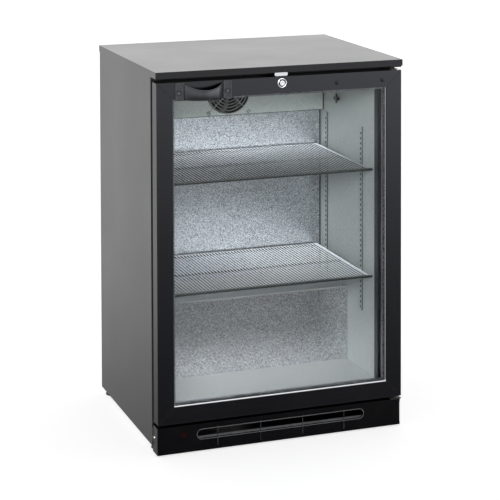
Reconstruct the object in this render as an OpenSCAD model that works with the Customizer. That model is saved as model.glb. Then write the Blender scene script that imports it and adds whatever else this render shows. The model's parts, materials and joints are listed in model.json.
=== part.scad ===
// Undercounter refrigerator with one glass door.
// Millimetres, +Z up, front towards -Y, origin on the floor under the middle of the overall box.

/* [Cabinet] */
// Width across the two side panels
body_w = 597; // [580:1:620]
// Height from the floor to the top of the worktop
total_h = 875; // [860:1:900]
// Depth of the worktop, front to back
top_d = 520; // [510:1:540]
// Thickness of the folded worktop
top_t = 15; // [12:1:20]
// How far the worktop stands past each side panel
top_side = 1.5; // [0.5:0.5:4]
// Height of the feet
foot_h = 15; // [12:1:18]
// Thickness of the outer steel sheets
skin_t = 0.8; // [0.6:0.1:1]

/* [Inside] */
// Clear width between the liner walls
inner_w = 520; // [500:1:524]
// Height of the floor of the cold space above the ground
floor_z = 98; // [92:1:104]
// Height of the ceiling of the cold space above the ground
ceiling_z = 820; // [812:1:824]
// Height of the step over the machine space above the ground
step_z = 280; // [270:1:290]
// Depth of the floor in front of the step
floor_d = 206; // [190:1:215]
// Height of the top of the upper shelf above the ground
upper_shelf_z = 608; // [540:1:660]
// Height of the top of the lower shelf above the ground
lower_shelf_z = 350; // [330:1:380]
// Spacing of the shelf wires
wire_pitch = 8.2; // [8:0.1:14]

/* [Door] */
// Height of the bottom edge of the door above the ground
door_z = 73.5; // [72:0.5:76]
// Gap between the door and the worktop
door_gap = 10; // [8:0.5:12]
// Thickness of the door frame
door_t = 35; // [32:1:38]
// Width of the door frame's stiles and rails
frame_w = 38.5; // [36:0.5:42]
// Thickness of each glass pane
glass_t = 4; // [3:0.5:5]
// How far the handle stands out from the door
handle_out = 28; // [24:1:34]
// Height of the lock's axis below the top of the door
lock_drop = 14.5; // [13:0.5:16]

/* [Plinth] */
// Height of the top of the plinth above the ground
plinth_z = 65; // [62:0.5:65]
// Length of the air slot
vent_w = 405; // [300:1:420]
// Height of the air slot
vent_h = 20; // [14:1:24]
// Diameter of the pilot light
lamp_d = 8; // [7:0.5:14]

/* [Hidden] */
$fn = 48;

fit = 0.05;      // radial running clearance between a pin and its bush
gap = 0.2;       // clearance between fixed neighbours
liner_t = 0.8;   // liner sheet
past = 1;        // how far a cutting shape runs past the face it cuts

// Planes from front to back
seal_t = 11;                              // squeezed thickness of the door gasket
door_back_set = 3;                        // door face behind the worktop's front edge
rear_set = 2;                             // rear panel in front of the worktop's back edge
y_back = (top_d + handle_out - door_back_set) / 2;
y_top = y_back - top_d;
y_door = y_top + door_back_set;
y_door_back = y_door + door_t;
y_cab = y_door_back + seal_t;
y_rear = y_back - rear_set;
y_liner = y_rear - 38.5;                  // back wall of the liner
y_step = y_cab + floor_d;
y_duct = y_liner - 35.5;                  // face of the rear duct panel
y_fan = y_duct - 25;                      // face of the fan panel
y_plinth = y_door + 8;

// Heights
z_top = total_h - top_t;
z_door_top = z_top - door_gap;
z_air = 58;                               // underside of the floor's foam, over the air channel
z_machine = step_z - 40;                  // ceiling of the machine space
z_fan_panel = step_z + 415;               // lower edge of the fan panel

half_body = body_w / 2;
half_top = half_body + top_side;
half_in = inner_w / 2;
half_door = half_body - 1;
half_sight = half_door - frame_w;
z_sight_low = door_z + frame_w;
z_sight_high = z_door_top - frame_w;

// Door frame section, measured in from the outer edge and back from the front face
lip_t = 5;                                // front lip over the glass
rebate_u = frame_w - 12.5;                // where the glass pocket starts
frame_wall = 3;

// Glazing
pane_gap = 12;
y_pane1 = y_door + lip_t;
y_pane2 = y_pane1 + glass_t + pane_gap;
y_bead = y_pane2 + glass_t;
pane_edge = rebate_u + 1.5;

// Hinge axis
pivot_x = half_door - 14.5;
pivot_y = y_door + 17;
pin_r = 4;
bush_r = 7;
plate_t = 3;

// Lock
lock_z = z_door_top - lock_drop;
plug_r = 6;
y_cam = y_door + 11.5;
cam_t = 2.5;

// Fans
fan_x = 5;
fan_z = z_fan_panel + 61;
fan_size = 120;
fan_t = 25;
condenser_x = 118;
condenser_z = 120;

// Shelves
shelf_half = half_in - 15;
y_shelf_front = y_cab + 35;
y_shelf_back = y_duct - 9;
wire_r = 1.6;
rod_r = 2.6;
front_rod_r = 3.2;
y_pilasters = [y_cab + 113, y_duct - 44];
pilaster_t = 2.4;
pilaster_w = 16;
slot_pitch = 12.5;
z_pilaster_top = z_fan_panel - 2;
z_pilaster_low = step_z - 3 * slot_pitch + 1;   // the front ones reach below the step's ledge

// Pipes and drain
pipe_x = half_in - 17;
pipe_y = (y_duct + y_liner) / 2;
drain_x = -150;

module box(low, high) translate(low) cube(high - low);

module mirrored_x() { children(); mirror([1, 0, 0]) children(); }

// Cylinder along +Y from y0 to y1 through (x, z)
module rod_y(x, z, r, y0, y1) translate([x, y0, z]) rotate([-90, 0, 0]) cylinder(r = r, h = y1 - y0);

module rod_x(y, z, r, x0, x1) translate([x0, y, z]) rotate([0, 90, 0]) cylinder(r = r, h = x1 - x0);

module rod_z(x, y, r, z0, z1) translate([x, y, z0]) cylinder(r = r, h = z1 - z0);

// Turns a flat outline drawn in X and Z into a plate between two Y planes
module plate_y(y0, y1) translate([0, y1, 0]) rotate([90, 0, 0]) linear_extrude(y1 - y0) children();

module rounded_rect(low, high, r) {
    translate([low.x + r, low.y]) square([high.x - low.x - 2 * r, high.y - low.y]);
    translate([low.x, low.y + r]) square([high.x - low.x, high.y - low.y - 2 * r]);
    for (x = [low.x + r, high.x - r], y = [low.y + r, high.y - r]) translate([x, y]) circle(r);
}

module obround(w, h) {
    square([w - h, h], center = true);
    for (s = [-1, 1]) translate([s * (w - h) / 2, 0]) circle(h / 2);
}

// Rectangular ring in the XZ plane between two Y planes
module ring_y(half_x, z0, z1, width, y0, y1) {
    difference() {
        box([-half_x, y0, z0], [half_x, y1, z1]);
        box([-half_x + width, y0 - past, z0 + width], [half_x - width, y1 + past, z1 - width]);
    }
}

// ---- Cabinet ----

module worktop() color([0.35, 0.35, 0.36]) difference() {
    translate([0, 0, z_top]) linear_extrude(top_t) rounded_rect([-half_top, y_top], [half_top, y_back], 2);
    box([-half_top + skin_t, y_top + skin_t, z_top + skin_t],
        [half_top - skin_t, y_back - skin_t, total_h - skin_t]);
    box([-half_body + 8, y_cab + 5, z_top - past], [half_body - 8, y_rear - 5, z_top + 2]);
}

module side_panel() box([half_body - skin_t, y_cab, foot_h], [half_body, y_rear, z_top - gap]);

module left_side_panel() color([0.25, 0.25, 0.25]) mirror([1, 0, 0]) side_panel();

module right_side_panel() color([0.25, 0.25, 0.25]) side_panel();

module rear_panel() color([0.75, 0.76, 0.77]) difference() {
    box([-half_body + 1, y_rear - skin_t, foot_h + 2 * gap], [half_body - 1, y_rear, z_top - gap]);
    box([-half_in + 25, y_rear - 2, 30], [half_in - 25, y_rear + past, z_machine - 10]);
}

module front_frame() color([0.2, 0.2, 0.2]) difference() {
    box([-half_body + 1, y_cab, z_air], [half_body - 1, y_cab + skin_t, z_top - gap]);
    box([-half_in, y_cab - past, floor_z], [half_in, y_cab + 2, ceiling_z]);
}

module base_tray() color([0.72, 0.73, 0.74]) difference() {
    union() {
        box([-half_body + 1, y_cab + 1, foot_h], [half_body - 1, y_rear - 1, foot_h + 1.5]);
        for (y = [y_cab + 1, y_rear - 3])
            box([-half_body + 1, y, foot_h], [half_body - 1, y + 1.5, foot_h + 8]);
    }
    for (x = [-70 : 20 : 70]) translate([x, 0, 0])
        box([-6, y_cab + 60, foot_h - past], [6, y_cab + 180, foot_h + 3]);
}

module feet() color([0.05, 0.05, 0.05])
    for (x = [-1, 1], y = [y_cab + 25, y_rear - 24]) translate([x * (half_body - 24), y, 0])
        rotate_extrude()
            polygon([[0, 0], [18, 0], [19, 1.5], [19, 4], [15, foot_h - 2], [15, foot_h], [0, foot_h]]);

// The foam is injected as one body; here it is one slab per wall
module cabinet_foam() color([0.93, 0.88, 0.66]) {
    foam_x = half_in + liner_t;
    step_x = half_in - gap;
    mirrored_x()
        box([foam_x + gap, y_cab + 1, foot_h + 9], [half_body - 1, y_rear - 1, z_top - 1]);
    box([-foam_x, y_cab + 6, ceiling_z + 1], [foam_x, y_rear - 6, total_h - 1.2]);
    box([-foam_x, y_liner + 1, step_z + gap], [foam_x, y_rear - 1, ceiling_z + 1 - gap]);
    box([-foam_x, y_cab + 1, z_air + gap], [foam_x, y_step + liner_t - gap, floor_z - 1]);
    box([-step_x, y_step + 1, z_air + gap], [step_x, y_step + 40, z_machine - gap]);
    difference() {
        box([-step_x, y_step + 1, z_machine], [step_x, y_rear - 1, step_z - 1]);
        rod_z(pipe_x, pipe_y, 9, z_machine - past, step_z);
        rod_z(drain_x, pipe_y, 9, z_machine - past, step_z);
    }
}

module liner_wall()
    box([half_in, y_cab + 1, floor_z - 1], [half_in + liner_t, y_liner + liner_t, ceiling_z + 0.6]);

module liner_left() color([0.62, 0.65, 0.64]) mirror([1, 0, 0]) liner_wall();

module liner_right() color([0.62, 0.65, 0.64]) liner_wall();

// Ceiling and back in one folded sheet
module liner_back() color([0.62, 0.65, 0.64]) {
    side = half_in - gap;
    box([-side, y_cab + 1, ceiling_z], [side, y_liner + liner_t, ceiling_z + liner_t]);
    box([-side, y_liner, step_z + gap], [side, y_liner + liner_t, ceiling_z + liner_t / 2]);
}

// Floor, riser and ledge in one folded sheet
module liner_floor() color([0.68, 0.71, 0.71]) {
    side = half_in - gap;
    box([-side, y_cab + 1, floor_z - liner_t], [side, y_step + liner_t, floor_z]);
    box([-side, y_step, floor_z - liner_t], [side, y_step + liner_t, step_z]);
    difference() {
        box([-side, y_step, step_z - liner_t], [side, y_liner - gap, step_z]);
        for (x = [pipe_x, drain_x]) rod_z(x, pipe_y, 9, step_z - 3, step_z + past);
    }
}

module step_panel() color([0.6, 0.62, 0.66])
    box([-half_in + 1, y_step - 1 - gap, floor_z + gap], [half_in - 1, y_step - gap, step_z - 3]);

module mouth_trim() color([0.25, 0.26, 0.26])
    ring_y(half_in - gap, floor_z + gap, ceiling_z - gap, 3.5, y_cab, y_cab + 22);

module rear_duct_panel() color([0.62, 0.64, 0.68]) {
    side = half_in - 1;
    box([-side, y_duct, step_z + gap], [side, y_duct + 1, z_fan_panel - gap]);
    mirrored_x() box([side - 1, y_duct, step_z + gap], [side, y_duct + 20, z_fan_panel - gap]);
}

module fan_panel() color([0.62, 0.64, 0.68]) {
    side = half_in - 1;
    difference() {
        box([-side, y_fan, z_fan_panel], [side, y_fan + 1, ceiling_z - gap]);
        rod_y(fan_x, fan_z, fan_size / 2 - 3, y_fan - past, y_fan + 3);
    }
    box([-side, y_fan, z_fan_panel], [side, y_duct + 12, z_fan_panel + 1]);
}

// ---- Refrigeration ----

// Finned coil between two end plates, centred on the origin in X, standing on z = 0
module coil(w, d, h, fins, tubes) {
    for (i = [0 : fins - 1]) translate([-w / 2 + i * (w - 1) / (fins - 1), 0, 0]) cube([1, d, h]);
    for (k = [0 : tubes - 1]) rod_x(d / 2, h * (k + 0.5) / tubes, 4, -w / 2 - 8, w / 2 + 8);
    for (s = [-1, 1], k = [0 : 2 : tubes - 2])
        box([s * (w / 2 + 7) - 4, d / 2 - 4, h * (k + 0.5) / tubes],
            [s * (w / 2 + 7) + 4, d / 2 + 4, h * (k + 1.5) / tubes]);
}

// Square axial fan case; its wheel turns on a shaft along Y
module fan_case(size, depth) {
    difference() {
        plate_y(0, depth) rounded_rect([-size / 2, -size / 2], [size / 2, size / 2], 6);
        rod_y(0, 0, size / 2 - 3, -past, depth + past);
        for (x = [-1, 1], z = [-1, 1]) rod_y(x * size * 0.4375, z * size * 0.4375, 2.2, -past, depth + past);
    }
    rod_y(0, 0, 18, depth - 5, depth);
    rod_y(0, 0, 2, 3, depth - 4);
    for (a = [0 : 120 : 240]) rotate([0, a, 0]) box([-3, depth - 4, 10], [3, depth, size / 2 - 1]);
}

module fan_wheel(size, depth) {
    blade = size / 2 - 5.5;
    difference() {
        union() {
            rod_y(0, 0, 19, 2, depth - 6);
            intersection() {
                rod_y(0, 0, blade, 2, depth - 6);
                union() for (a = [0 : 360 / 7 : 359]) rotate([0, a, 0]) translate([0, depth / 2 - 2, 0])
                    rotate([0, 0, 38]) box([-13, -0.8, 10], [13, 0.8, size / 2]);
            }
        }
        rod_y(0, 0, 2 + fit, past, depth);
    }
}

module evaporator() color([0.8, 0.81, 0.82])
    translate([0, y_fan + fan_t + 4, z_fan_panel + 8]) coil(360, 28, 110, 19, 4);

module at_evaporator_fan() translate([fan_x, y_fan + 1.5, fan_z]) children();

module evaporator_fan_case() color([0.1, 0.1, 0.1]) at_evaporator_fan() fan_case(fan_size, fan_t);

module evaporator_fan_wheel() color([0.08, 0.08, 0.08]) at_evaporator_fan() fan_wheel(fan_size, fan_t);

module fan_guard() color([0.78, 0.79, 0.8]) translate([fan_x, y_fan, fan_z]) {
    ring_r = 1.3;
    for (r = [9 : 7.6 : 55])
        translate([0, -4, 0]) rotate([90, 0, 0]) rotate_extrude() translate([r, 0]) circle(ring_r);
    for (a = [45 : 90 : 315]) rotate([0, a, 0]) {
        translate([0, -2.5, 0]) rod_z(0, 0, 1, 6, 72);
        difference() {
            translate([0, 0, 74]) rod_y(0, 0, 5, -3.8, -gap);
            translate([0, 0, 74]) rod_y(0, 0, 2.2, -5, past);
        }
    }
}

module drain_tray() color([0.85, 0.85, 0.85]) {
    z0 = z_fan_panel - 12;
    difference() {
        box([-190, y_duct + 2, z0], [190, y_liner - 1, z0 + 11]);
        box([-188, y_duct + 4, z0 + 2], [188, y_liner - 3, z0 + 12]);
        rod_z(drain_x, pipe_y, 5, z0 - past, z0 + 3);
    }
    difference() {
        rod_z(drain_x, pipe_y, 6.5, 206, z0 + 1);
        rod_z(drain_x, pipe_y, 5, 205, z0 + 2);
    }
}

compressor_at = [-120, y_rear - 110];
compressor_r = 72;

module compressor() color([0.07, 0.07, 0.08]) translate([compressor_at.x, compressor_at.y, foot_h + 2]) {
    dome = 45;
    translate([0, 0, 14]) rotate_extrude() difference() {
        union() {
            translate([0, dome]) square([compressor_r, 65]);
            translate([0, dome]) intersection() {
                circle(compressor_r);
                translate([0, -dome]) square([compressor_r, dome]);
            }
            translate([0, dome + 65]) intersection() {
                circle(compressor_r);
                square([compressor_r, dome]);
            }
            translate([0, dome + 30]) square([compressor_r + 3, 4]);
        }
        translate([-2 * compressor_r, -past]) square([2 * compressor_r, 300]);
    }
    difference() {
        box([-90, -55, 9], [90, 55, 12]);
        for (x = [-80, 80], y = [-45, 45]) rod_z(x, y, 5, 8, 13);
    }
    for (x = [-80, 80], y = [-45, 45]) rod_z(x, y, 10, 0, 9);
    translate([-60, 0, 0]) box([-40, -22, 70], [-5, 22, 120]);
    for (a = [-40, 40]) rotate([0, 0, a]) box([50, -8, 10], [60, 8, 40]);
}

y_condenser = y_step + 46;

module condenser() color([0.12, 0.12, 0.12])
    translate([condenser_x, y_condenser, foot_h + 6]) coil(200, 44, 190, 25, 6);

module at_condenser_fan() translate([condenser_x, y_condenser + 50, condenser_z]) children();

module condenser_fan_case() color([0.1, 0.1, 0.1]) {
    at_condenser_fan() fan_case(172, 38);
    for (x = [-70, 70]) translate([condenser_x + x, y_condenser + 60, 0])
        box([-8, -8, foot_h + 2], [8, 8, condenser_z - 82]);
}

module condenser_fan_wheel() color([0.6, 0.61, 0.62]) at_condenser_fan() fan_wheel(172, 38);

// Tube through a list of points, with a ball at each bend
module tube(points, r) for (i = [0 : len(points) - 2]) {
    a = points[i];
    b = points[i + 1];
    run = b - a;
    translate(a) rotate([0, acos(run.z / norm(run)), atan2(run.y, run.x)]) cylinder(r = r, h = norm(run));
    if (i > 0) translate(a) sphere(r);
}

module refrigerant_pipes() color([0.72, 0.45, 0.3]) {
    pipe_r = 4;
    z_coil = z_fan_panel + 90;
    tube([[compressor_at.x + compressor_r + 6, compressor_at.y, 90], [-20, compressor_at.y, 90],
        [-20, pipe_y, 90], [pipe_x, pipe_y, 90], [pipe_x, pipe_y, z_coil], [200, pipe_y, z_coil]], pipe_r);
    tube([[compressor_at.x + compressor_r + 6, compressor_at.y - 20, 130], [-8, compressor_at.y - 20, 130],
        [-8, y_condenser + 22, 130], [4, y_condenser + 22, 130]], pipe_r);
    tube([[234, y_condenser + 22, 60], [246, y_condenser + 22, 60], [246, y_condenser + 80, 60],
        [246, y_condenser + 80, 150]], 2.5);
    rod_z(246, y_condenser + 80, 9, 80, 140);
}

module drip_tray() color([0.8, 0.8, 0.8]) difference() {
    box([-205, y_rear - 190, 195], [-40, y_rear - 34, 217]);
    box([-203, y_rear - 188, 197], [-42, y_rear - 36, 218]);
}

thermostat_at = [185, 175];

module thermostat() color([0.85, 0.85, 0.85]) translate([thermostat_at.x, 0, thermostat_at.y]) {
    box([-22, y_rear - 46, -22], [22, y_rear - 14, 22]);
    rod_y(0, 0, 3, y_rear - 15, y_rear - 4);
    rod_y(0, 0, 6, y_rear - 15, y_rear - 12.5);
}

module thermostat_knob() color([0.06, 0.06, 0.06]) translate([thermostat_at.x, 0, thermostat_at.y])
    difference() {
        union() {
            rod_y(0, 0, 16, y_rear - 12, y_rear - 4);
            rod_y(0, 0, 13, y_rear - 5, y_rear + 1.4);
            box([-2, y_rear - 5, 4], [2, y_rear + 1.9, 13.5]);
        }
        rod_y(0, 0, 3 + fit, y_rear - 13, y_rear - 3);
    }

module power_cord() color([0.05, 0.05, 0.05]) translate([-185, y_rear - 26, 120]) {
    for (i = [0 : 2])
        translate([0, i * 7, 0]) rotate([90, 0, 0]) rotate_extrude() translate([46, 0]) circle(4);
    box([-12, -6, -72], [12, 16, -44]);
    for (x = [-6, 6]) rod_z(x, 5, 2, -90, -70);
}

grille_half = half_in - 18;

module rear_grille() color([0.2, 0.2, 0.2]) difference() {
    plate_y(y_rear, y_rear + 1) rounded_rect([-grille_half, 24], [grille_half, z_machine - 4], 4);
    for (z = [42 : 13 : z_machine - 24], x = [-180, -60, 60, 180])
        if (norm([x - thermostat_at.x, z - thermostat_at.y]) > 60 || z < thermostat_at.y - 28)
            translate([x, 0, z]) plate_y(y_rear - past, y_rear + 2) obround(96, 6);
    rod_y(thermostat_at.x, thermostat_at.y, 18, y_rear - past, y_rear + 2);
}

// ---- Fittings inside ----

module pilaster(y, z0) difference() {
    box([half_in - pilaster_t, y - pilaster_w / 2, z0], [half_in - gap, y + pilaster_w / 2, z_pilaster_top]);
    box([half_in - pilaster_t + 1, y - pilaster_w / 2 + 1, z0 - past],
        [half_in, y + pilaster_w / 2 - 1, z_pilaster_top + past]);
    for (z = [z0 + 8 : slot_pitch : z_pilaster_top - 8])
        box([half_in - pilaster_t - past, y - 3.2, z - 3], [half_in - pilaster_t + 1.2, y + 3.2, z + 3]);
}

module shelf_pilasters() color([0.66, 0.68, 0.67]) mirrored_x() {
    pilaster(y_pilasters[0], z_pilaster_low);
    pilaster(y_pilasters[1], z_pilaster_low + 3 * slot_pitch);
}

// Welded wire shelf whose wires' tops lie at height z
module shelf(z) {
    z_wire = z - wire_r;
    z_rod = z_wire - wire_r - rod_r + 1;
    wires = floor(2 * (shelf_half - 6) / wire_pitch / 2);
    for (i = [-wires : wires]) rod_y(i * wire_pitch, z_wire, wire_r, y_shelf_front, y_shelf_back);
    rod_x(y_shelf_front + 2, z_rod - front_rod_r + rod_r, front_rod_r, -half_in + 3, half_in - 3);
    for (y = [y_shelf_front + 170, y_shelf_back - 5]) rod_x(y, z_rod, rod_r, -shelf_half, shelf_half);
    for (s = [-1, 1]) rod_y(s * shelf_half, z_rod + 1.5, rod_r, y_shelf_front, y_shelf_back);
}

module shelf_clips(z) mirrored_x() for (y = y_pilasters) {
    x_face = half_in - pilaster_t - gap;
    z_seat = z - 2 * wire_r - 2 * rod_r + 2.5 - gap;
    box([shelf_half - 5, y - 6, z_seat - 1.5], [x_face, y + 6, z_seat]);
    box([shelf_half - 5, y - 6, z_seat - 1.5], [shelf_half - 3.5, y + 6, z_seat + 4]);
    box([x_face - 1.5, y - 6, z_seat - 14], [x_face, y + 6, z_seat]);
}

module upper_shelf() color([0.8, 0.81, 0.81]) shelf(upper_shelf_z);

module lower_shelf() color([0.8, 0.81, 0.81]) shelf(lower_shelf_z);

module upper_shelf_clips() color([0.75, 0.76, 0.77]) shelf_clips(upper_shelf_z);

module lower_shelf_clips() color([0.75, 0.76, 0.77]) shelf_clips(lower_shelf_z);

module ceiling_lamp() color([0.95, 0.95, 0.92])
    plate_y(y_cab + 26, y_cab + 44) rounded_rect([-200, ceiling_z - 12], [200, ceiling_z - gap], 4);

module probe_holder() color([0.06, 0.06, 0.06]) {
    y = y_cab + 269;
    z = floor_z + 641;
    box([half_in - 8, y - 10, z - 4], [half_in - gap, y + 10, z + 4]);
    translate([half_in - 5, 0, 0]) rod_z(0, y, 2.2, z - 12, z + 12);
}

// Round head whose flat side lies on a plane that faces -Y
module head_y(x, z, r, y) rod_y(x, z, r, y - 1.5, y);

module cabinet_screws() color([0.7, 0.71, 0.72]) {
    mirrored_x() for (z = [step_z + 55, step_z + 213, step_z + 372]) head_y(half_in - 11, z, 4, y_duct - gap);
    mirrored_x() head_y(half_in - 48, z_fan_panel + 41, 4, y_fan - gap);
    mirrored_x() head_y(half_in - 14, z_fan_panel + 27, 4, y_fan - gap);
    for (z = [z_top - 22, z_top - 12, door_z + 3, door_z + 13])
        head_y(half_door - 7, z, 3, y_cab - plate_t + 1 - gap);
    mirrored_x() rod_x(y_plinth + 24, 38, 3, half_body - 1.5 + gap, half_body + 0.2);
}

// ---- Door ----

// Section of the door frame: x from the outer edge inwards, y from the front face backwards
module frame_section() difference() {
    union() {
        square([frame_w, lip_t]);
        square([rebate_u, door_t]);
    }
    translate([frame_wall, frame_wall]) square([rebate_u - 2 * frame_wall, door_t - 2 * frame_wall]);
}

// Straight frame member along +Z from the origin, with mitred ends
module frame_member(length) intersection() {
    linear_extrude(length) frame_section();
    translate([0, -past, 0]) rotate([-90, 0, 0]) mirror([0, 1, 0]) linear_extrude(door_t + 2 * past)
        polygon([[0, gap / 2], [frame_w + past, frame_w + past + gap / 2],
            [frame_w + past, length - frame_w - past - gap / 2], [0, length - gap / 2]]);
}

door_h = z_door_top - door_z;

module bush_pockets()
    for (z = [door_z - past, z_door_top - 14]) rod_z(pivot_x, pivot_y, bush_r + fit, z, z + 15);

module door_stile_left() color([0.06, 0.06, 0.07])
    translate([-half_door, y_door, door_z]) frame_member(door_h);

module door_stile_right() color([0.06, 0.06, 0.07]) difference() {
    mirror([1, 0, 0]) translate([-half_door, y_door, door_z]) frame_member(door_h);
    bush_pockets();
}

module door_rail_top() color([0.06, 0.06, 0.07]) difference() {
    translate([-half_door, y_door, z_door_top]) rotate([0, 90, 0]) frame_member(2 * half_door);
    bush_pockets();
    rod_y(0, lock_z, 9.2, y_door - past, y_cam);
    for (x = screw_xs) rod_y(x, screw_z, 2.1, y_door - past, y_door + 4);
    box([-23, y_cam - 1, z_door_top - 6], [5, y_cam + cam_t + 1, z_door_top + past]);
}

module door_rail_bottom() color([0.06, 0.06, 0.07]) difference() {
    mirror([0, 0, 1]) translate([-half_door, y_door, -door_z]) rotate([0, 90, 0]) frame_member(2 * half_door);
    bush_pockets();
}

// Places a child that belongs at the door's bottom there and, turned over, at its top
module both_ends() for (s = [0, 1]) translate([0, 0, s * (door_z + z_door_top)]) mirror([0, 0, s]) children();

module door_corner_keys() color([0.5, 0.5, 0.5]) mirrored_x() both_ends()
    plate_y(y_door + 26, y_door + 30) difference() {
        translate([-half_door + 8, door_z + 8]) square([62, 62]);
        translate([-half_door + 20, door_z + 20]) square([62, 62]);
    }

module pane(y) box([-half_door + pane_edge, y + fit, door_z + pane_edge],
    [half_door - pane_edge, y + glass_t - fit, z_door_top - pane_edge]);

module outer_glass() color([0.8, 0.9, 0.9, 0.3]) pane(y_pane1);

module inner_glass() color([0.8, 0.9, 0.9, 0.3]) pane(y_pane2);

module glass_spacer() color([0.6, 0.6, 0.6]) {
    edge = pane_edge + 1;
    ring_y(half_door - edge, door_z + edge, z_door_top - edge, 15, y_pane1 + glass_t, y_pane2);
}

module glazing_bead() color([0.08, 0.08, 0.08]) {
    edge = rebate_u + gap;
    ring_y(half_door - edge, door_z + edge, z_door_top - edge, 12, y_bead, y_door_back);
}

module door_gasket() color([0.12, 0.12, 0.12]) {
    x0 = half_door - 16.5;
    z0 = door_z + 5;
    z1 = z_door_top - 8;
    difference() {
        union() {
            ring_y(x0, z0, z1, 22, y_door_back + fit, y_door_back + 3);
            ring_y(x0 - 3, z0 + 3, z1 - 3, 15, y_door_back + 2, y_cab - 0.4);
        }
        ring_y(x0 - 5, z0 + 5, z1 - 5, 11, y_door_back + 4, y_door_back + 7);
    }
}

// Scoop handle, opened from above
handle_x = [-half_door + 43.5, -half_door + 175.5];
handle_mid = (handle_x[0] + handle_x[1]) / 2;
pad_w = 19.5;
handle_z = z_door_top - 41;

module handle_outline(out, half) {
    r = (half * half + out * out) / (2 * out);
    intersection() {
        translate([0, r - out]) circle(r, $fn = 96);
        translate([-half - past, -out - past]) square([2 * half + 2 * past, out + past]);
    }
}

module handle() color([0.05, 0.05, 0.055]) {
    half = (handle_x[1] - handle_x[0]) / 2 - pad_w;
    scoop = 14;
    scoop_r = (half * half + scoop * scoop) / (2 * scoop);
    difference() {
        for (x = [handle_x[0], handle_x[1] - pad_w])
            plate_y(y_door - 3, y_door) rounded_rect([x, handle_z], [x + pad_w, z_door_top], 3);
        for (x = screw_xs) rod_y(x, screw_z, 2.2, y_door - 5, y_door + past);
    }
    difference() {
        translate([handle_mid, y_door, handle_z])
            linear_extrude(z_door_top - handle_z - 3) handle_outline(handle_out, half + 1);
        translate([handle_mid, y_door - 2.5, handle_z + 3])
            linear_extrude(z_door_top) handle_outline(handle_out - 6, half - 2);
        translate([handle_mid, 0, z_door_top - 18 + scoop_r])
            rod_y(0, 0, scoop_r, y_door - handle_out - past, y_door - 2.4);
    }
}

screw_xs = [-half_door + 51.5, -half_door + 166.5];
screw_z = z_door_top - 25;

module handle_screws() color([0.15, 0.15, 0.16]) for (x = screw_xs) difference() {
    union() {
        rod_y(x, screw_z, 3.6, y_door - 5, y_door - 3 - fit);
        rod_y(x, screw_z, 2, y_door - 4, y_door + 2.5);
    }
    box([x - 2.6, y_door - 6, screw_z - 0.4], [x + 2.6, y_door - 4.4, screw_z + 0.4]);
    box([x - 0.4, y_door - 6, screw_z - 2.6], [x + 0.4, y_door - 4.4, screw_z + 2.6]);
}

module hole_plugs() color([0.04, 0.04, 0.04])
    for (x = [half_door - 163, half_door - 49]) translate([x, y_door, z_door_top - 21.5]) rotate([90, 0, 0])
        rotate_extrude() polygon([[0, fit], [4.5, fit], [4.5, 0.8], [3.4, 1.6], [0, 1.9]]);

module lock_barrel() color([0.8, 0.8, 0.8]) difference() {
    union() {
        rod_y(0, lock_z, 11.5, y_door - 2.5, y_door - fit);
        rod_y(0, lock_z, 9, y_door - 1, y_cam - 1);
        box([-12, y_door + frame_wall + fit, lock_z - 8.2], [12, y_door + frame_wall + 2, lock_z + 10.5]);
    }
    rod_y(0, lock_z, plug_r + fit, y_door - 4, y_cam);
}

// Key cylinder with its cam, drawn unlocked with the cam level
module lock_cylinder() color([0.75, 0.75, 0.75]) difference() {
    union() {
        rod_y(0, lock_z, plug_r, y_door - 3, y_cam + cam_t);
        rod_y(-14, lock_z, 4.5, y_cam, y_cam + cam_t);
        box([-14, y_cam, lock_z - 4.5], [0, y_cam + cam_t, lock_z + 4.5]);
    }
    box([-0.7, y_door - 4, lock_z - 3.6], [0.7, y_door + 2, lock_z + 3.6]);
}

module strike_plate() color([0.8, 0.8, 0.8]) {
    y0 = y_cam - 6;
    translate([0, 0, z_top - gap - 4.5]) plate_y(y0, y0 + 2.5) obround(32, 9);
    box([-12, y0, z_top - gap - 1.5], [12, y0 + 22, z_top - gap]);
}

// ---- Hinges ----

// Hinge plate over the door's end, with a flange on the front frame and a pin towards the door
module hinge(pin_length) {
    rod_z(pivot_x, pivot_y, pin_r, -pin_length, plate_t - 1);
    box([pivot_x - 12, y_door + 1, 0], [half_door, y_cab - gap, plate_t]);
    box([pivot_x + 1, y_cab - 2 - gap, -28], [half_door, y_cab - gap, plate_t]);
}

module top_hinge() color([0.3, 0.3, 0.31]) translate([0, 0, z_top - plate_t - 2 * gap]) hinge(18);

module bottom_hinge() color([0.3, 0.3, 0.31])
    translate([0, 0, plinth_z + 1 + plate_t]) mirror([0, 0, 1]) hinge(18);

module hinge_bushes() color([0.85, 0.85, 0.83]) both_ends() difference() {
    union() {
        rod_z(pivot_x, pivot_y, bush_r, door_z, door_z + 14);
        rod_z(pivot_x, pivot_y, 9, door_z - 1.6, door_z - fit);
        rod_z(pivot_x, pivot_y, bush_r, door_z - 1, door_z + 1);
    }
    rod_z(pivot_x, pivot_y, pin_r + fit, door_z - 3, door_z + 15);
}

// ---- Plinth ----

pad_in = 59.5;      // from the end of the plinth to the inner edge of a raised end pad
vent_z = 41;

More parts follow.
